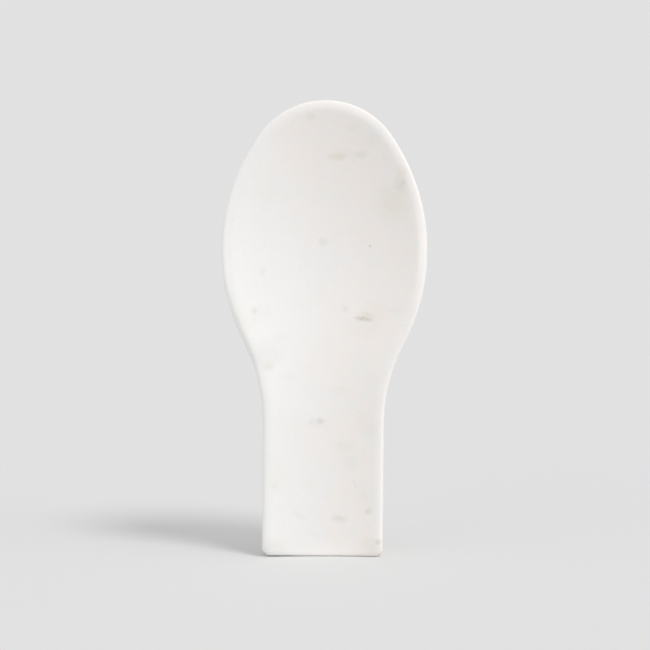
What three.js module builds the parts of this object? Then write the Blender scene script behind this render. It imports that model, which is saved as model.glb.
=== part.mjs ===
// Marble spoon rest, stood upright on the square end of its handle.
// Millimetres, +Z up along the length, the bowl open towards -Y and the flat underside towards +Y.
// The origin is the centre of the handle's end, half way through the stone's thickness.
import * as THREE from "three";
import { mergeVertices } from "three/addons/utils/BufferGeometryUtils.js";

// Outline, seen from the front
const LENGTH = 229; // handle end to the tip of the bowl
const BOWL_WIDTH = 102;
const TIP_TO_WIDEST = 75; // tip of the bowl down to its widest level
const TIP_RADIUS = 39.8;
const HANDLE_WIDTH = 60.5;
const NECK_RADIUS = 87; // hollow curve from the bowl into the handle

// Section through the stone
const THICKNESS = 19; // rim to underside
const BOWL_DEPTH = 10; // rim to the deepest point of the dish
const TROUGH_DEPTH = 4; // rim to the bottom of the trough where it runs out of the handle's end
const DISH_EASE = 7; // how late the trough deepens on its way up into the bowl
const RIM_RADIUS = 1.7; // roll of the rim's outer edge
const LIP_RADIUS = 11; // softer roll from the rim into the dish
const SIDE_INSET = 9; // how far the full, rounded side draws in between the rim and the flat underside
const END_RADIUS = 1; // eased edge round the handle's end

// Stick-on bumpers under the stone
const BUMPER_DIAMETER = 10;
const BUMPER_HEIGHT = 2.4;
const BUMPER_FOOT_DIAMETER = 6.5; // flat that meets the worktop
const ADHESIVE_DIAMETER = 9;
const ADHESIVE_THICKNESS = 0.3;
const BUMPER_MARGIN = 1; // bumper to the edge of the flat underside

// Fineness of the curved faces
const END_STEPS = 4;
const HANDLE_STEPS = 4;
const NECK_STEPS = 12;
const SHOULDER_STEPS = 20;
const TIP_STEPS = 12;
const SIDE_STEPS = 9;
const RIM_STEPS = 7;
const LIP_STEPS = 3;
const DISH_STEPS = 10;
const BUMPER_ROUND_STEPS = 6;
const BUMPER_SIDES = 32;
const SLOPE_PASSES = 6;

const QUARTER_TURN = Math.PI / 2;
const UNDERSIDE = THICKNESS / 2;
const WIDEST_LEVEL = LENGTH - TIP_TO_WIDEST;
const BUMPER_TO_EDGE = SIDE_INSET + BUMPER_MARGIN + BUMPER_DIAMETER / 2; // bumper centre to the stone's outline

// The right half of the outline is a straight handle side and three arcs, each tangent to the next:
// the hollow neck, the long shoulder and the tip. The tip's centre is on the middle line.
function outlineCurves() {
  const halfBowl = BOWL_WIDTH / 2;
  const halfHandle = HANDLE_WIDTH / 2;
  const shoulderRadius =
    (halfBowl ** 2 + TIP_TO_WIDEST ** 2 - 2 * TIP_TO_WIDEST * TIP_RADIUS) / (2 * (halfBowl - TIP_RADIUS));
  const tip = new THREE.Vector2(0, LENGTH - TIP_RADIUS);
  const shoulder = new THREE.Vector2(halfBowl - shoulderRadius, WIDEST_LEVEL);
  const neckX = halfHandle + NECK_RADIUS;
  const neckDrop = Math.sqrt((shoulderRadius + NECK_RADIUS) ** 2 - (neckX - shoulder.x) ** 2);
  const neck = new THREE.Vector2(neckX, WIDEST_LEVEL - neckDrop);
  const tipTurn = tip.clone().sub(shoulder).angle();
  const neckTurn = Math.atan2(neck.y - shoulder.y, neck.x - shoulder.x);
  const arc = (centre, radius, from, to) =>
    new THREE.EllipseCurve(centre.x, centre.y, radius, radius, from, to, to < from);
  const handleFoot = new THREE.Vector2(halfHandle, END_RADIUS);
  const handleTop = new THREE.Vector2(halfHandle, neck.y);
  return [
    [new THREE.LineCurve(handleFoot, handleTop), HANDLE_STEPS],
    [arc(neck, NECK_RADIUS, Math.PI, Math.PI + neckTurn), NECK_STEPS],
    [arc(shoulder, shoulderRadius, neckTurn, tipTurn), SHOULDER_STEPS],
    [arc(tip, TIP_RADIUS, tipTurn, QUARTER_TURN), TIP_STEPS],
  ];
}

// Stations up the right half of the outline: a point, the direction into the stone and how far the section
// there is drawn in to ease the handle's end.
function rightStations() {
  const stations = [];
  for (let step = 0; step < END_STEPS; step++) {
    const turn = (QUARTER_TURN * step) / END_STEPS;
    stations.push({
      point: new THREE.Vector2(HANDLE_WIDTH / 2, END_RADIUS * (1 - Math.cos(turn))),
      inward: new THREE.Vector2(-1, 0),
      drawnIn: END_RADIUS * (1 - Math.sin(turn)),
    });
  }
  outlineCurves().forEach(([curve, steps], index) => {
    for (let step = index === 0 ? 0 : 1; step <= steps; step++) {
      const tangent = curve.getTangent(step / steps);
      stations.push({
        point: curve.getPoint(step / steps),
        inward: new THREE.Vector2(-tangent.y, tangent.x),
        drawnIn: 0,
      });
    }
  });
  const tip = stations.at(-1);
  tip.point.set(0, LENGTH);
  tip.inward.set(0, -1);
  return stations;
}

// The trough keeps nearly one depth along the handle and deepens smoothly to the bowl's widest level.
function dishDepth(level) {
  const rise = Math.sin((QUARTER_TURN * level) / WIDEST_LEVEL) ** DISH_EASE;
  return THREE.MathUtils.lerp(TROUGH_DEPTH, BOWL_DEPTH, rise);
}

// Section at one station, from the middle of the underside up the rounded side, over the rolled rim and down the
// dish to its middle. The side is a quarter of an ellipse that meets the underside and the rim's roll smoothly.
// The lip's roll ends at the slope with which the dish starts, so these two run on smoothly as well.
function section({ point, inward, drawnIn }) {
  const rim = RIM_RADIUS - drawnIn;
  const roll = LIP_RADIUS - drawnIn;
  const front = drawnIn - UNDERSIDE;
  const back = UNDERSIDE - drawnIn;
  const sideInset = SIDE_INSET - drawnIn;
  const sideHeight = back - front - rim;
  const at = (inset, y) => {
    const flat = point.clone().addScaledVector(inward, drawnIn + inset);
    return new THREE.Vector3(flat.x, y, flat.y);
  };
  const middleOf = (lip) => new THREE.Vector2(0, Math.min(lip.z, WIDEST_LEVEL));

  let slope = 0;
  let lip;
  let middle;
  for (let pass = 0; pass < SLOPE_PASSES; pass++) {
    lip = at(rim + roll * Math.sin(slope), front + roll * (1 - Math.cos(slope)));
    middle = middleOf(lip);
    const reach = middle.clone().sub(new THREE.Vector2(lip.x, lip.z));
    const fall = front + dishDepth(middle.y) - lip.y;
    slope = Math.atan((2 * fall) / reach.dot(inward));
  }
  const deepest = front + dishDepth(middle.y);

  const profile = [new THREE.Vector3(0, back, middle.y)];
  for (let step = 0; step <= SIDE_STEPS; step++) {
    const turn = (QUARTER_TURN * step) / SIDE_STEPS;
    profile.push(at(sideInset * (1 - Math.sin(turn)), back - sideHeight * (1 - Math.cos(turn))));
  }
  for (let step = 1; step <= RIM_STEPS; step++) {
    const turn = (QUARTER_TURN * step) / RIM_STEPS;
    profile.push(at(rim * (1 - Math.cos(turn)), front + rim * (1 - Math.sin(turn))));
  }
  for (let step = 1; step <= LIP_STEPS; step++) {
    const turn = (slope * step) / LIP_STEPS;
    profile.push(at(rim + roll * Math.sin(turn), front + roll * (1 - Math.cos(turn))));
  }
  for (let step = 1; step <= DISH_STEPS; step++) {
    const out = 1 - step / DISH_STEPS;
    profile.push(
      new THREE.Vector3(lip.x * out, deepest - (deepest - lip.y) * out ** 2, middle.y + (lip.z - middle.y) * out),
    );
  }
  return profile;
}

const mirrored = (profile) => profile.map((p) => new THREE.Vector3(-p.x, p.y, p.z));

// The body: sections lofted up the right side, over the tip and down the left, closed by the handle's flat end.
function marbleBodyGeometry() {
  const right = rightStations().map(section);
  const left = right.slice(0, -1).map(mirrored).reverse();
  const sections = [...right, ...left];
  const perSection = sections[0].length;

  const soup = [];
  const face = (a, b, c) => soup.push(a, b, c);
  for (let i = 0; i + 1 < sections.length; i++) {
    for (let j = 0; j + 1 < perSection; j++) {
      const [a, b] = [sections[i][j], sections[i][j + 1]];
      const [d, c] = [sections[i + 1][j], sections[i + 1][j + 1]];
      face(a, c, b);
      face(a, d, c);
    }
  }
  const [endRight, endLeft] = [sections.at(0), sections.at(-1)];
  for (let j = 1; j + 1 < perSection; j++) {
    face(endRight[0], endRight[j], endRight[j + 1]);
    face(endLeft[0], endLeft[j + 1], endLeft[j]);
  }
  return withoutSlivers(mergeVertices(new THREE.BufferGeometry().setFromPoints(soup)));
}

// Where sections share a point in the middle of the dish, a face between them has two equal corners: it goes.
function withoutSlivers(geometry) {
  const corners = geometry.index.array;
  const kept = [];
  for (let i = 0; i < corners.length; i += 3) {
    const [a, b, c] = [corners[i], corners[i + 1], corners[i + 2]];
    if (a !== b && b !== c && c !== a) kept.push(a, b, c);
  }
  geometry.setIndex(kept);
  geometry.computeVertexNormals();
  return geometry;
}

// A bumper is turned about its own Y axis: a flat base, a round shoulder and the flat that meets the worktop.
function bumperGeometry() {
  const base = BUMPER_DIAMETER / 2;
  const foot = BUMPER_FOOT_DIAMETER / 2;
  const profile = [new THREE.Vector2(0, 0)];
  for (let step = 0; step <= BUMPER_ROUND_STEPS; step++) {
    const turn = (QUARTER_TURN * step) / BUMPER_ROUND_STEPS;
    profile.push(new THREE.Vector2(foot + (base - foot) * Math.cos(turn), BUMPER_HEIGHT * Math.sin(turn)));
  }
  profile.push(new THREE.Vector2(0, BUMPER_HEIGHT));
  return new THREE.LatheGeometry(profile, BUMPER_SIDES);
}

function adhesiveGeometry() {
  const radius = ADHESIVE_DIAMETER / 2;
  return new THREE.CylinderGeometry(radius, radius, ADHESIVE_THICKNESS, BUMPER_SIDES);
}

const marble = new THREE.MeshStandardMaterial({ color: 0xece9e5, roughness: 0.45, metalness: 0 });
const clearRubber = new THREE.MeshStandardMaterial({ color: 0xdfe2df, roughness: 0.3, metalness: 0 });
const adhesiveFilm = new THREE.MeshStandardMaterial({ color: 0xcfccc2, roughness: 0.6, metalness: 0 });

function named(name, geometry, material) {
  const mesh = new THREE.Mesh(geometry, material);
  mesh.name = name;
  return mesh;
}

const spoonRest = new THREE.Group();
spoonRest.add(named("marble_body", marbleBodyGeometry(), marble));

// One bumper near each side of the bowl at its widest level, and one near each corner of the handle's end
const bumperPlaces = {
  bowl: [BOWL_WIDTH / 2 - BUMPER_TO_EDGE, WIDEST_LEVEL],
  handle: [HANDLE_WIDTH / 2 - BUMPER_TO_EDGE, BUMPER_TO_EDGE],
};
for (const [region, [x, z]] of Object.entries(bumperPlaces)) {
  for (const [side, sign] of [["left", -1], ["right", 1]]) {
    const pad = new THREE.Group();
    pad.position.set(sign * x, UNDERSIDE, z);
    const adhesive = named(`adhesive_${region}_${side}`, adhesiveGeometry(), adhesiveFilm);
    adhesive.position.y = ADHESIVE_THICKNESS / 2;
    const bumper = named(`bumper_${region}_${side}`, bumperGeometry(), clearRubber);
    bumper.position.y = ADHESIVE_THICKNESS;
    pad.add(adhesive, bumper);
    spoonRest.add(pad);
  }
}

export default spoonRest;
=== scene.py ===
"""Looks for a carved white marble spoon rest that stands on the square end of its handle.

The stone, its stick-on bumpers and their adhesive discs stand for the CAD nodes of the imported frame.
Lengths are metres, and the material's coordinates are millimetres.
"""
import math

import bmesh
import bpy
from mathutils import Matrix, Quaternion, Vector, noise
from mathutils.bvhtree import BVHTree


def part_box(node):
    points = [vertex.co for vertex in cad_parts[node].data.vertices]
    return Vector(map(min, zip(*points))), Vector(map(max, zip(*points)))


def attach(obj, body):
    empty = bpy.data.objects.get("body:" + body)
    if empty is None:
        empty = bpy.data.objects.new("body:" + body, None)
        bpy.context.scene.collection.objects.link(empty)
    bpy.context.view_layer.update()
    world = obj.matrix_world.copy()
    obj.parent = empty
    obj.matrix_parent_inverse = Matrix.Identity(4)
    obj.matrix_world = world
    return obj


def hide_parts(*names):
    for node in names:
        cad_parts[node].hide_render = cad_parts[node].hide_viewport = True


MM = 0.001

# Stone surface
VOXEL = 0.6 * MM
SMOOTH_FACTOR = 0.5
SMOOTH_PASSES = 6
LEFT_CORNER = 4.5 * MM  # radii of the worn corners at the handle's end
RIGHT_CORNER = 4.0 * MM
END_WEAR = 0.4 * MM  # the left corner of the hand-cut end stands this far above its middle
END_FADE = 10 * MM  # what is done to the end eases out over this height
END_FALL = 2.6 * MM  # the rim falls back by this much at the end's front corners
END_FILL = 0.8 * MM  # the trough is this much shallower where it runs out through the end

# Hand-carved rim. Turns go round the middle of the bowl in degrees, 0 at its tip and 90 on the right
BOWL_MIDDLE = 75 * MM  # below the tip
RIM_ROLL = 1.7 * MM
# Where the rim leans outwards: middle turn, reach, how far it falls back at its edge, width of the lean
RIM_LEANS = [
    (88, 40, 1.5 * MM, 5.0 * MM),
    (10, 45, 0.5 * MM, 5.0 * MM),
    (-134, 28, 1.0 * MM, 3.6 * MM),
]
# Where the rim has a crisper edge: middle turn, reach, share of the roll at the edge that is missing
RIM_CRISP = [(-68, 62, 0.55), (18, 52, 0.62)]
CRISP_WIDTH = 0.7 * RIM_ROLL  # width of the crisp edge inside the outline, which eases out to CRISP_END
CRISP_END = 1.8 * RIM_ROLL
RIM_BACK = 3 * RIM_ROLL  # leans and crisp edges ease out from RIM_ROLL to this far behind the rim's crest
# Where the dish is deeper just inside the rim: middle turn, reach, how much
RIM_SCOOPS = [(-80, 65, 0.5 * MM)]
SCOOP_START = 0.6 * MM  # distances inside the outline
SCOOP_DEEPEST = 4 * MM
SCOOP_END = 30 * MM
HAND_WAVE = 0.12 * MM  # depth of the waves that hand finishing leaves, never proud of the CAD surface
HAND_WAVE_LENGTH = 17 * MM
FLAT_MARGIN = 6 * MM  # the waves fade out over this distance towards the end face and the underside

# Bumpers and adhesive
BUMPER_SIDES = 64
BUMPER_STEPS = 16
BUMPER_FOOT_SHARE = 0.65  # flat foot's diameter as a share of the base's
FILM_ROUND = 0.08 * MM
WELD_DISTANCE = MM * 1e-4

# Patterns below are in millimetres: scales in cells per millimetre, spans of X, Y and Z in millimetres, and
# ranges of a pattern's own value from 0 to 1
NOISE_DETAIL = 3.0

# Marble colours
STONE = (0.880, 0.873, 0.862, 1.0)
# Warm tint painted where the stone is in shade: painted shade on the right and towards the tip, less of it
# on the lit rim crest
STONE_PAINTED_SHADE_TINT = (0.897, 0.856, 0.826, 1.0)
STONE_COOL = (0.868, 0.864, 0.850, 1.0)
OLIVE = (0.60, 0.585, 0.42, 1.0)
OCHRE = (0.74, 0.655, 0.42, 1.0)
BROWN = (0.44, 0.40, 0.31, 1.0)
GREY = (0.52, 0.51, 0.48, 1.0)

# Marble clouds, the painted warm shade and grain
CLOUDS = dict(scale=0.035, distortion=0.6)
CLOUD_RANGE = (0.3, 0.7)
PAINTED_SHADE_EDGE_SHIFT = 14.0  # the clouds move the edge of the painted warm shade by this much either way
PAINTED_SHADE_SPAN = (-22.0, 20.0)  # X from the plain, lit side to the side with the painted warm shade
PAINTED_SHADE_TIP_SPAN = (160.0, 200.0)  # Z over which the painted warm shade spreads to the left towards the tip
PAINTED_SHADE_TIP_SHIFT = 34.0
PAINTED_SHADE_RIM_SPAN = (-9.4, -7.8)  # Y from the lit rim's crest to where the painted warm shade is whole
PAINTED_SHADE_ON_CREST = 0.5  # share of the painted warm shade on the lit crest
DRIFT = dict(scale=0.09, distortion=0.4)
COOL_RANGE = (0.50, 0.34)
COOL_SHARE = 0.6
CRYSTAL_SCALE = 1.1
CRYSTAL_SHADE = 0.985  # of the darkest crystal

# Inclusions in the face of the stone, in millimetres and degrees:
# x, z, half width, half height, tilt down to the right, strength
FLECK_MIDDLE_Y = -5.0
FLECK_HALF_DEPTH = 14.0
FLECK_EDGE = 1.5  # in half sizes from its middle, where a fleck ends and where it has its full strength
FLECK_CORE = 0.15
FLECK_RAGGED = ((0.12, 2.0), (0.55, 1.2))  # scale and reach of each push that makes the edges ragged
PATCH_SCALE = 1.3
PATCH_RANGE = (0.35, 0.62)
PATCH_LEAST = 0.6  # share of a fleck's strength in its palest patches
FACE_FADE = (5.0, 1.0)  # Y between which the face's flecks fade in towards the front
OLIVE_FLECKS = [
    (6.4, 201.1, 5.2, 2.2, -4, 0.34),
    (12.0, 202.0, 9.0, 2.6, 0, 0.08),
    (33.5, 178.4, 8.5, 9.0, 0, 0.18),
    (22.8, 209.7, 4.2, 3.4, 0, 0.09),
    (20.9, 115.6, 11.0, 5.5, 0, 0.11),
    (21.4, 122.0, 3.6, 1.6, 6, 0.30),
    (-27.6, 96.3, 2.6, 2.6, 0, 0.26),
    (8.2, 84.3, 5.5, 2.4, 0, 0.07),
    (19.1, 69.6, 4.0, 5.0, 0, 0.08),
    (24.1, 65.9, 4.5, 3.6, 0, 0.08),
    (10.5, 56.5, 5.6, 3.2, 8, 0.14),
    (13.5, 48.9, 5.6, 3.4, 60, 0.11),
    (20.7, 32.0, 4.5, 4.0, 0, 0.07),
]
OCHRE_FLECKS = [
    (38.1, 194.2, 3.0, 2.6, 0, 0.28),
    (14.0, 216.5, 5.0, 2.4, -45, 0.11),
    (24.0, 123.6, 8.0, 4.5, 0, 0.14),
    (-38.0, 117.0, 5.0, 13.0, -25, 0.09),
    (-27.0, 182.0, 8.0, 7.0, 0, 0.04),
    (-23.4, 41.5, 6.0, 8.0, 0, 0.07),
    (-7.4, 37.6, 3.5, 4.5, 0, 0.07),
    (24.2, 8.2, 4.5, 3.0, 0, 0.16),
    (23.4, 24.9, 2.4, 1.8, 0, 0.14),
    (-23.2, 6.6, 6.0, 4.0, 0, 0.08),
]
BROWN_FLECKS = [
    (19.8, 120.2, 4.4, 1.1, 8, 0.55),
    (38.6, 189.0, 1.2, 1.2, 0, 0.45),
    (37.2, 188.0, 3.4, 4.6, 0, 0.18),
    (22.7, 156.6, 0.9, 0.9, 0, 0.46),
    (10.6, 124.4, 1.7, 1.7, 0, 0.17),
    (-0.8, 158.0, 2.3, 2.1, 0, 0.19),
    (-7.6, 221.0, 2.6, 2.4, 0, 0.13),
    (8.3, 19.5, 3.8, 2.2, 5, 0.22),
    (22.6, 23.7, 1.8, 1.3, 0, 0.24),
    (28.0, 8.3, 1.9, 1.5, 0, 0.36),
    (-23.8, 36.4, 2.0, 2.0, 0, 0.09),
]
GREY_FLECKS = [
    (17.8, 202.2, 3.2, 2.0, 0, 0.20),
    (-1.6, 68.8, 2.2, 1.8, 0, 0.42),
    (-5.5, 68.2, 1.6, 1.4, 0, 0.22),
    (-2.4, 68.4, 4.6, 2.4, -8, 0.10),
    (-34.2, 124.3, 1.7, 1.8, 0, 0.30),
    (-31.4, 123.2, 5.0, 4.0, 0, 0.07),
    (-30.8, 143.5, 2.2, 2.0, 0, 0.14),
    (-23.0, 110.6, 5.0, 3.4, 0, 0.07),
    (-29.0, 102.5, 8.5, 8.0, 0, 0.15),
    (34.1, 125.3, 4.2, 1.4, 0, 0.09),
    (-16.7, 90.9, 4.2, 1.8, 22, 0.08),
    (16.1, 37.4, 3.6, 1.0, 66, 0.09),
    (-11.0, 20.4, 3.6, 1.8, 38, 0.11),
    (-4.2, 11.8, 2.8, 1.4, 0, 0.07),
]

FACE_FLECKS = ((OLIVE, OLIVE_FLECKS), (OCHRE, OCHRE_FLECKS), (GREY, GREY_FLECKS), (BROWN, BROWN_FLECKS))

# Inclusions strewn through the sides and the underside: tint, scale, share of the cells left empty, strength
STREWN_SETS = ((OLIVE, 0.058, 0.15, 0.36), (BROWN, 0.092, 0.40, 0.30))
STREWN_FADE = (0.0, 3.0)  # Y between which they fade in behind the face
STREWN_SHIFT = (52.0, 31.0, 9.0)
STREWN_STRETCH = (0.7, 0.8, 1.25)
STREWN_RAGGED = (0.25, 7.0)  # scale and reach
STREWN_SIZE = 0.22  # radius of the largest one and width of the soft edge, in cells
STREWN_EDGE = 0.10

# Honed surface of the marble
HONED = dict(scale=0.8, detail=4.0)
HONED_RANGE = (0.25, 0.75)
HONED_ROUGHNESS = (0.42, 0.56)
POLISH_SCALE = 3.5
POLISH_STRENGTH = 0.25
POLISH_DEPTH = 0.02 * MM
MARBLE_SHADER = {
    "IOR": 1.5,
    "Specular IOR Level": 0.4,
    "Subsurface Weight": 0.15,
    "Subsurface Radius": (1.0, 0.92, 0.82),
    "Subsurface Scale": 2.5 * MM,
}

# Clear rubber and adhesive
HAZE_SCALE = 0.9
HAZE_RANGE = (0.3, 0.7)
RUBBER = (0.80, 0.815, 0.805, 1.0)
RUBBER_HAZY = (0.75, 0.765, 0.75, 1.0)
RUBBER_ROUGHNESS = (0.22, 0.34)
RUBBER_SHADER = {
    "IOR": 1.49,
    "Subsurface Weight": 0.6,
    "Subsurface Radius": (1.0, 1.0, 1.0),
    "Subsurface Scale": 1.5 * MM,
}
GLUE = (0.66, 0.64, 0.585, 1.0)
GLUE_BUBBLE = (0.76, 0.745, 0.70, 1.0)
BUBBLE_SCALE = 1.6
BUBBLE_EDGE = (0.30, 0.12)  # distances from a bubble's middle, in cells
BUBBLE_REACH = (0.1, 0.5)
GLUE_ROUGHNESS = (0.45, 0.62)

# The stone stands upright in the frame. It leans to the right in the photograph by this many degrees, on its
# hand-cut end, so the floor and the camera are turned the other way
STONE_LEAN = 0.435

# Camera, at the photograph's viewing angle
CAMERA_DISTANCE = 1.5
CAMERA_ELEVATION = 8.0
CAMERA_AIM = Vector((0.52 * MM, 0.0, 116.4 * MM))
CAMERA_LENS = 166.7
SENSOR_WIDTH = 36.0

# Light
KEY = dict(azimuth=44.5, elevation=60.0, spread=16.0, strength=1.02)
SIDE_FILL = dict(azimuth=70.0, elevation=10.0, spread=45.0, strength=0.92)
FRONT_FILL = dict(azimuth=-56.0, elevation=10.0, spread=70.0, strength=0.46)
WORLD_STRENGTH = 0.665
BACKGROUND = (0.752, 0.752, 0.752, 1.0)
FLOOR_COLOUR = (0.728, 0.728, 0.728, 1.0)
FLOOR_SHADER = {"Base Color": FLOOR_COLOUR, "Roughness": 1.0, "Specular IOR Level": 0.0}
FLOOR_RADIUS = 14.0
FLOOR_SIDES = 96


def link(obj):
    bpy.context.scene.collection.objects.link(obj)
    return obj


def add(tree, kind, inputs=None, **settings):
    """Adds a node; inputs maps a socket's name or index to a value or to another node's output."""
    node = tree.nodes.new(kind)
    for key, value in settings.items():
        setattr(node, key, value)
    for key, value in (inputs or {}).items():
        if isinstance(value, bpy.types.NodeSocket):
            tree.links.new(value, node.inputs[key])
        else:
            node.inputs[key].default_value = value
    return node


def math_of(tree, operation, a, b):
    return add(tree, "ShaderNodeMath", {0: a, 1: b}, operation=operation).outputs[0]


def ramp(tree, value, low, high, to_low=0.0, to_high=1.0):
    """Eases from to_low at value low to to_high at value high."""
    node = add(
        tree,
        "ShaderNodeMapRange",
        {"Value": value, "From Min": low, "From Max": high, "To Min": to_low, "To Max": to_high},
        interpolation_type="SMOOTHSTEP",
    )
    return node.outputs["Result"]


def mixed(tree, share, a, b):
    """Colour a, or b where share is 1."""
    node = add(tree, "ShaderNodeMix", data_type="RGBA")
    factor, first, second = node.inputs[0], node.inputs[6], node.inputs[7]
    for socket, value in ((factor, share), (first, a), (second, b)):
        if isinstance(value, bpy.types.NodeSocket):
            tree.links.new(value, socket)
        else:
            socket.default_value = value
    return node.outputs[2]


def noise_of(tree, vector, scale, detail=NOISE_DETAIL, distortion=0.0):
    node = add(
        tree,
        "ShaderNodeTexNoise",
        {"Vector": vector, "Scale": scale, "Detail": detail, "Distortion": distortion},
    )
    return node.outputs


def millimetres(tree):
    """The piece's own coordinates in millimetres."""
    place = add(tree, "ShaderNodeTexCoord").outputs["Object"]
    return add(tree, "ShaderNodeVectorMath", {0: place, "Scale": 1 / MM}, operation="SCALE").outputs[0]


def new_material(name):
    material = bpy.data.materials.new(name)
    material.use_nodes = True
    return material, material.node_tree, material.node_tree.nodes["Principled BSDF"]


def set_inputs(shader, values):
    for socket, value in values.items():
        shader.inputs[socket].default_value = value


def smoothstep(low, high, value):
    t = min(max((value - low) / (high - low), 0.0), 1.0)
    return t * t * (3 - 2 * t)


def baked_mesh(obj):
    """The object's mesh with its modifiers applied."""
    evaluated = obj.evaluated_get(bpy.context.evaluated_depsgraph_get())
    return bpy.data.meshes.new_from_object(evaluated)


def carved_stone(cad, half_end):
    """The stone as one even, smooth mesh over the CAD solid, with its rim, waves and end carved by hand."""
    stone = link(bpy.data.objects.new("carved_marble", cad.data.copy()))
    stone.data.materials.clear()
    remesh = stone.modifiers.new("even_mesh", "REMESH")
    remesh.mode = "VOXEL"
    remesh.voxel_size = VOXEL
    remesh.use_smooth_shade = True
    soften = stone.modifiers.new("soften", "SMOOTH")
    soften.factor = SMOOTH_FACTOR
    soften.iterations = SMOOTH_PASSES
    even = baked_mesh(stone)
    stone.modifiers.clear()
    stone.data = even
    low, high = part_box("marble_body")
    carve_rim(stone.data, low, high)
    wave_surface(stone.data, low, high)
    surface = BVHTree.FromObject(cad, bpy.context.evaluated_depsgraph_get())
    cut_end(stone.data, low, half_end, surface)
    return stone


def wave_surface(mesh, low, high):
    """Presses shallow waves into the rim, sides and dish. The end face and the underside stay flat."""
    normals = [vertex.normal.copy() for vertex in mesh.vertices]
    for vertex, normal in zip(mesh.vertices, normals):
        p = vertex.co
        off_end = smoothstep(low.z, low.z + FLAT_MARGIN, p.z)
        off_underside = 1 - smoothstep(high.y - FLAT_MARGIN, high.y, p.y)
        wave = 0.5 + 0.5 * noise.noise(p / HAND_WAVE_LENGTH)
        vertex.co = p - normal * (HAND_WAVE * off_end * off_underside * wave)
    mesh.update()


def zone_share(turn, middle, reach):
    """1 at a zone's middle turn, easing out to 0 over its reach."""
    return 1 - smoothstep(0.0, reach, abs(turn - middle))


def summed(zones, turn):
    """Sum of what each zone (middle turn, reach, amount) gives at a turn."""
    return sum(amount * zone_share(turn, middle, reach) for middle, reach, amount in zones)


def lean_at(turn, inside):
    """How far the rim falls back at a turn and a distance inside the outline."""
    lean = 0.0
    for middle, reach, amount, width in RIM_LEANS:
        lean += amount * zone_share(turn, middle, reach) * (1 - smoothstep(0.0, width, inside))
    return lean


def carve_rim(mesh, low, high):
    """Makes the rim uneven: in places it leans outwards, has a crisper edge or a deeper dish inside it."""
    middle = high.z - BOWL_MIDDLE
    edge = {}
    for vertex in mesh.vertices:
        turn = round(math.degrees(math.atan2(vertex.co.x, vertex.co.z - middle)))
        edge[turn] = max(edge.get(turn, 0.0), math.hypot(vertex.co.x, vertex.co.z - middle))
    for vertex in mesh.vertices:
        p = vertex.co
        turn = math.degrees(math.atan2(p.x, p.z - middle))
        before = math.floor(turn)
        share = turn - before
        outline = edge[before] * (1 - share) + edge.get(before + 1, edge[before]) * share
        inside = outline - math.hypot(p.x, p.z - middle)
        behind = p.y - low.y
        front = 1 - smoothstep(RIM_ROLL, RIM_BACK, behind)
        crisp = summed(RIM_CRISP, turn) * (1 - smoothstep(CRISP_WIDTH, CRISP_END, inside))
        p.y += front * (lean_at(turn, inside) - crisp * behind)
        if p.y < 0:
            deeper = smoothstep(SCOOP_START, SCOOP_DEEPEST, inside)
            deeper *= 1 - smoothstep(SCOOP_DEEPEST, SCOOP_END, inside)
            p.y += deeper * summed(RIM_SCOOPS, turn)
    mesh.update()


def half_width(surface, side, y, z):
    """Distance of the stone's left (-1) or right (1) side from its middle plane."""
    hit = surface.ray_cast(Vector((side, y, z)), Vector((-side, 0.0, 0.0)))[0]
    return 0.0 if hit is None else side * hit.x


def cut_end(mesh, low, half_end, surface):
    """Cuts the handle's end a little out of square, with worn corners where the rim falls back."""
    for vertex in mesh.vertices:
        p = vertex.co
        if p.z > low.z + END_FADE:
            continue
        side, radius = (-1, LEFT_CORNER) if p.x < 0 else (1, RIGHT_CORNER)
        out = side * p.x - (half_width(surface, side, p.y, low.z + END_FADE) - radius)
        down = low.z + radius - p.z
        if out > 0 and down > 0:
            inward = 1 - max(out, down) / math.hypot(out, down)
            p.x -= side * out * inward
            p.z += down * inward
        share = (1 - (p.z - low.z) / END_FADE) ** 2
        across = p.x / half_end
        set_back = END_FALL * across ** 2 - END_FILL * (1 - across ** 2)
        p.y += share * set_back * (1 - smoothstep(low.y / 2, 0.0, p.y))
        if p.x < 0:
            p.z += share * (across ** 2 * END_WEAR)
        else:
            p.z += share * (p.x * math.tan(math.radians(STONE_LEAN)))
    mesh.update()


def turned(name, profile, base):
    """A solid turned about an axis along Y, from a profile of (radius, height) points, standing on base."""
    form = bmesh.new()
    points = [form.verts.new((radius, height, 0.0)) for radius, height in profile]
    edges = [form.edges.new(pair) for pair in zip(points, points[1:])]
    bmesh.ops.spin(
        form,
        geom=points + edges,
        axis=(0.0, 1.0, 0.0),
        cent=(0.0, 0.0, 0.0),
        angle=2 * math.pi,
        steps=BUMPER_SIDES,
        use_merge=True,
    )
    bmesh.ops.remove_doubles(form, verts=form.verts[:], dist=WELD_DISTANCE)
    bmesh.ops.recalc_face_normals(form, faces=form.faces[:])
    for face in form.faces:
        face.smooth = True
    mesh = bpy.data.meshes.new(name)
    form.to_mesh(mesh)
    form.free()
    mesh.transform(Matrix.Translation(base))
    return link(bpy.data.objects.new(name, mesh))


def base_of(node):
    """Centre of the node's face towards the stone, its radius and its height along Y."""
    low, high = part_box(node)
    base = Vector(((low.x + high.x) / 2, low.y, (low.z + high.z) / 2))
    return base, (high.x - low.x) / 2, high.y - low.y


def bumper(name, node):
    """A clear bumper: flat base, quarter-round shoulder, flat foot."""
    base, radius, height = base_of(node)
    foot = radius * BUMPER_FOOT_SHARE
    profile = [(0.0, 0.0)]
    for step in range(BUMPER_STEPS + 1):
        turn = math.pi / 2 * step / BUMPER_STEPS
        profile.append((foot + (radius - foot) * math.cos(turn), height * math.sin(turn)))
    profile.append((0.0, height))
    return turned(name, profile, base)


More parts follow.
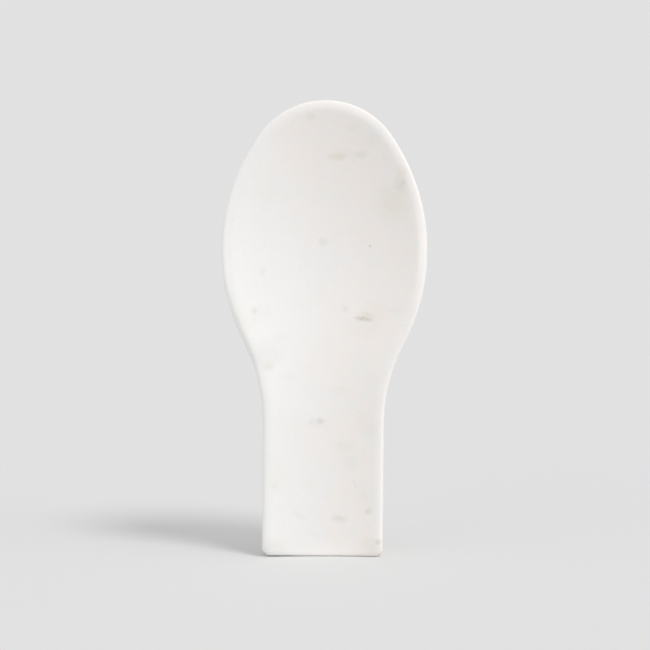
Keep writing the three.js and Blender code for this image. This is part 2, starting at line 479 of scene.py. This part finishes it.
def adhesive_film(name, node):
    """A thin disc with eased edges."""
    base, radius, height = base_of(node)
    profile = [
        (0.0, 0.0),
        (radius - FILM_ROUND, 0.0),
        (radius, FILM_ROUND),
        (radius, height - FILM_ROUND),
        (radius - FILM_ROUND, height),
        (0.0, height),
    ]
    return turned(name, profile, base)


def stirred(tree, place, scale, reach):
    """Coordinates pushed about by noise, so that round shapes drawn in them come out ragged."""
    push = noise_of(tree, place, scale)["Color"]
    push = add(tree, "ShaderNodeVectorMath", {0: push, 1: (0.5, 0.5, 0.5)}, operation="SUBTRACT").outputs[0]
    push = add(tree, "ShaderNodeVectorMath", {0: push, "Scale": reach}, operation="SCALE").outputs[0]
    return add(tree, "ShaderNodeVectorMath", {0: place, 1: push}, operation="ADD").outputs[0]


def inclusions(tree, ragged, flecks):
    """Strength of a set of soft-edged inclusions, each an ellipsoid that cuts the face of the stone."""
    total = None
    for x, z, half_x, half_z, tilt, strength in flecks:
        unit = add(
            tree,
            "ShaderNodeMapping",
            {
                "Vector": ragged,
                "Location": (x, FLECK_MIDDLE_Y, z),
                "Rotation": (0.0, math.radians(tilt), 0.0),
                "Scale": (half_x, FLECK_HALF_DEPTH, half_z),
            },
            vector_type="TEXTURE",
        ).outputs[0]
        reach = add(tree, "ShaderNodeVectorMath", {0: unit}, operation="LENGTH").outputs["Value"]
        fleck = ramp(tree, reach, FLECK_EDGE, FLECK_CORE, 0.0, strength)
        total = fleck if total is None else math_of(tree, "MAXIMUM", total, fleck)
    return total


def strewn(tree, torn, scale, rarity, strength):
    """Strength of soft inclusions strewn through the stone, one in some of the cells of a random pattern."""
    cells = add(tree, "ShaderNodeTexVoronoi", {"Vector": torn, "Scale": scale}).outputs
    chance = add(tree, "ShaderNodeSeparateColor", {"Color": cells["Color"]}).outputs["Red"]
    size = ramp(tree, chance, rarity, 1.0, 0.0, STREWN_SIZE)
    inside = math_of(tree, "SUBTRACT", size, cells["Distance"])
    return ramp(tree, inside, 0.0, STREWN_EDGE, 0.0, strength)


def stone_colour(tree, place, axes):
    """White stone with a painted warm shade towards its shaded right side and tip, less of it on the lit rim
    crest, with cooler clouds and a fine crystal grain.
    """
    clouds = noise_of(tree, place, **CLOUDS)["Fac"]
    shift = ramp(tree, clouds, *CLOUD_RANGE, -PAINTED_SHADE_EDGE_SHIFT, PAINTED_SHADE_EDGE_SHIFT)
    # Painted shade: the warm tint goes where the dish is shaded, on the right and towards the tip, and fades
    # on the lit rim crest
    into_painted_shade = math_of(tree, "ADD", axes["X"], shift)
    towards_tip = ramp(tree, axes["Z"], *PAINTED_SHADE_TIP_SPAN, 0.0, PAINTED_SHADE_TIP_SHIFT)
    into_painted_shade = math_of(tree, "ADD", into_painted_shade, towards_tip)
    off_lit_crest = ramp(tree, axes["Y"], *PAINTED_SHADE_RIM_SPAN, PAINTED_SHADE_ON_CREST, 1.0)
    painted_shade = math_of(tree, "MULTIPLY", ramp(tree, into_painted_shade, *PAINTED_SHADE_SPAN), off_lit_crest)
    colour = mixed(tree, painted_shade, STONE, STONE_PAINTED_SHADE_TINT)
    drift = noise_of(tree, place, **DRIFT)["Fac"]
    colour = mixed(tree, ramp(tree, drift, *COOL_RANGE, 0.0, COOL_SHARE), colour, STONE_COOL)
    crystals = add(tree, "ShaderNodeTexVoronoi", {"Vector": place, "Scale": CRYSTAL_SCALE}).outputs["Color"]
    grain = add(tree, "ShaderNodeSeparateColor", {"Color": crystals}).outputs["Red"]
    shade = ramp(tree, grain, 0.0, 1.0, CRYSTAL_SHADE, 1.0)
    return add(tree, "ShaderNodeVectorMath", {0: colour, "Scale": shade}, operation="SCALE").outputs[0]


def with_face_flecks(tree, place, axes, colour):
    """The colour with the inclusions that the face of the stone shows."""
    ragged = place
    for scale, reach in FLECK_RAGGED:
        ragged = stirred(tree, ragged, scale, reach)
    patchy = ramp(tree, noise_of(tree, place, PATCH_SCALE)["Fac"], *PATCH_RANGE, PATCH_LEAST, 1.0)
    patchy = math_of(tree, "MULTIPLY", patchy, ramp(tree, axes["Y"], *FACE_FADE))
    for tint, flecks in FACE_FLECKS:
        share = math_of(tree, "MULTIPLY", inclusions(tree, ragged, flecks), patchy)
        colour = mixed(tree, share, colour, tint)
    return colour


def with_strewn_flecks(tree, place, axes, colour):
    """The colour with the inclusions of the sides and the underside."""
    behind_face = ramp(tree, axes["Y"], *STREWN_FADE)
    strewing = {"Vector": place, "Location": STREWN_SHIFT, "Scale": STREWN_STRETCH}
    torn = stirred(tree, add(tree, "ShaderNodeMapping", strewing).outputs[0], *STREWN_RAGGED)
    for tint, scale, rarity, strength in STREWN_SETS:
        share = math_of(tree, "MULTIPLY", strewn(tree, torn, scale, rarity, strength), behind_face)
        colour = mixed(tree, share, colour, tint)
    return colour


def marble():
    """Honed white marble: soft clouds, sugary crystal grain and olive, ochre, grey and brown inclusions."""
    material, tree, shader = new_material("honed_marble")
    place = millimetres(tree)
    axes = add(tree, "ShaderNodeSeparateXYZ", {0: place}).outputs
    colour = stone_colour(tree, place, axes)
    colour = with_face_flecks(tree, place, axes, colour)
    colour = with_strewn_flecks(tree, place, axes, colour)
    tree.links.new(colour, shader.inputs["Base Color"])
    honed = noise_of(tree, place, **HONED)["Fac"]
    tree.links.new(ramp(tree, honed, *HONED_RANGE, *HONED_ROUGHNESS), shader.inputs["Roughness"])
    set_inputs(shader, MARBLE_SHADER)
    polish = noise_of(tree, place, POLISH_SCALE)["Fac"]
    fine = {"Strength": POLISH_STRENGTH, "Distance": POLISH_DEPTH, "Height": polish}
    tree.links.new(add(tree, "ShaderNodeBump", fine).outputs[0], shader.inputs["Normal"])
    return material


def clear_rubber():
    """Clear soft polyurethane, milky with haze."""
    material, tree, shader = new_material("clear_bumper")
    place = millimetres(tree)
    haze = noise_of(tree, place, HAZE_SCALE)["Fac"]
    colour = mixed(tree, ramp(tree, haze, *HAZE_RANGE), RUBBER, RUBBER_HAZY)
    tree.links.new(colour, shader.inputs["Base Color"])
    tree.links.new(ramp(tree, haze, *HAZE_RANGE, *RUBBER_ROUGHNESS), shader.inputs["Roughness"])
    set_inputs(shader, RUBBER_SHADER)
    return material


def adhesive():
    """Matte film of glue with small trapped bubbles."""
    material, tree, shader = new_material("adhesive_film")
    place = millimetres(tree)
    bubbles = add(tree, "ShaderNodeTexVoronoi", {"Vector": place, "Scale": BUBBLE_SCALE}).outputs["Distance"]
    colour = mixed(tree, ramp(tree, bubbles, *BUBBLE_EDGE), GLUE, GLUE_BUBBLE)
    tree.links.new(colour, shader.inputs["Base Color"])
    tree.links.new(ramp(tree, bubbles, *BUBBLE_REACH, *GLUE_ROUGHNESS), shader.inputs["Roughness"])
    return material


def direction(azimuth, elevation):
    """Unit vector towards an azimuth, 0 in front of the bowl and 90 to its right, and an elevation."""
    a, e = math.radians(azimuth), math.radians(elevation)
    return Vector((math.sin(a) * math.cos(e), -math.cos(a) * math.cos(e), math.sin(e)))


def sun(name, azimuth, elevation, spread, strength):
    lamp = bpy.data.lights.new(name, "SUN")
    lamp.energy = strength
    lamp.angle = math.radians(spread)
    obj = link(bpy.data.objects.new(name, lamp))
    obj.rotation_mode = "QUATERNION"
    obj.rotation_quaternion = direction(azimuth, elevation).to_track_quat("Z", "Y")


def studio_world():
    """Even white light; the camera, gloss and clear pieces see the pale grey backdrop instead."""
    world = bpy.data.worlds.new("studio")
    bpy.context.scene.world = world
    world.use_nodes = True
    tree = world.node_tree
    light = tree.nodes["Background"]
    light.inputs["Color"].default_value = (1.0, 1.0, 1.0, 1.0)
    light.inputs["Strength"].default_value = WORLD_STRENGTH
    backdrop = add(tree, "ShaderNodeBackground", {"Color": BACKGROUND, "Strength": 1.0})
    path = add(tree, "ShaderNodeLightPath").outputs
    seen = math_of(tree, "MAXIMUM", path["Is Camera Ray"], path["Is Glossy Ray"])
    seen = math_of(tree, "MAXIMUM", seen, path["Is Transmission Ray"])
    both = add(tree, "ShaderNodeMixShader", {0: seen, 1: light.outputs[0], 2: backdrop.outputs[0]})
    tree.links.new(both.outputs[0], tree.nodes["World Output"].inputs["Surface"])


def studio_floor():
    """A plain floor under the leaning stone, level with the right half of its end."""
    form = bmesh.new()
    bmesh.ops.create_circle(form, cap_ends=True, radius=FLOOR_RADIUS, segments=FLOOR_SIDES)
    mesh = bpy.data.meshes.new("floor")
    form.to_mesh(mesh)
    form.free()
    floor = link(bpy.data.objects.new("floor", mesh))
    floor.rotation_euler.y = -math.radians(STONE_LEAN)
    material, _, shader = new_material("floor_paint")
    set_inputs(shader, FLOOR_SHADER)
    mesh.materials.append(material)


def photo_camera():
    data = bpy.data.cameras.new("camera")
    data.sensor_width = SENSOR_WIDTH
    data.lens = CAMERA_LENS
    camera = link(bpy.data.objects.new("camera", data))
    back = direction(0.0, CAMERA_ELEVATION)
    camera.location = CAMERA_AIM + back * CAMERA_DISTANCE
    camera.rotation_mode = "QUATERNION"
    roll = Quaternion((0.0, 0.0, 1.0), math.radians(STONE_LEAN))
    camera.rotation_quaternion = (-back).to_track_quat("-Z", "Y") @ roll
    bpy.context.scene.camera = camera


def stand_for(piece, node, material):
    """The piece takes the CAD node's place on the one body."""
    piece.data.materials.clear()
    piece.data.materials.append(material)
    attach(piece, "root")
    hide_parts(node)


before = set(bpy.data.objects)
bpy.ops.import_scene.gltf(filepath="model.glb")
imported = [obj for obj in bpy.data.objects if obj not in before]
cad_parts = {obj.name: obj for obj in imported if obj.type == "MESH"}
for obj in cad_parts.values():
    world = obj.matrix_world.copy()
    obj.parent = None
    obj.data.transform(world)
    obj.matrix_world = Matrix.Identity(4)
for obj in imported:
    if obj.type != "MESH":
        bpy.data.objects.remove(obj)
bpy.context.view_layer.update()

cad_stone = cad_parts["marble_body"]
half_end = max(vertex.co.x for vertex in cad_stone.data.vertices if vertex.co.z < END_FADE)
stand_for(carved_stone(cad_stone, half_end), "marble_body", marble())
clear = clear_rubber()
film = adhesive()
for place in ("bowl_left", "bowl_right", "handle_left", "handle_right"):
    stand_for(bumper(f"clear_{place}", f"bumper_{place}"), f"bumper_{place}", clear)
    stand_for(adhesive_film(f"film_{place}", f"adhesive_{place}"), f"adhesive_{place}", film)

studio_floor()
studio_world()
sun("key", **KEY)
sun("side_fill", **SIDE_FILL)
sun("front_fill", **FRONT_FILL)
photo_camera()
bpy.context.scene.view_settings.view_transform = "Standard"

bpy.context.view_layer.update()
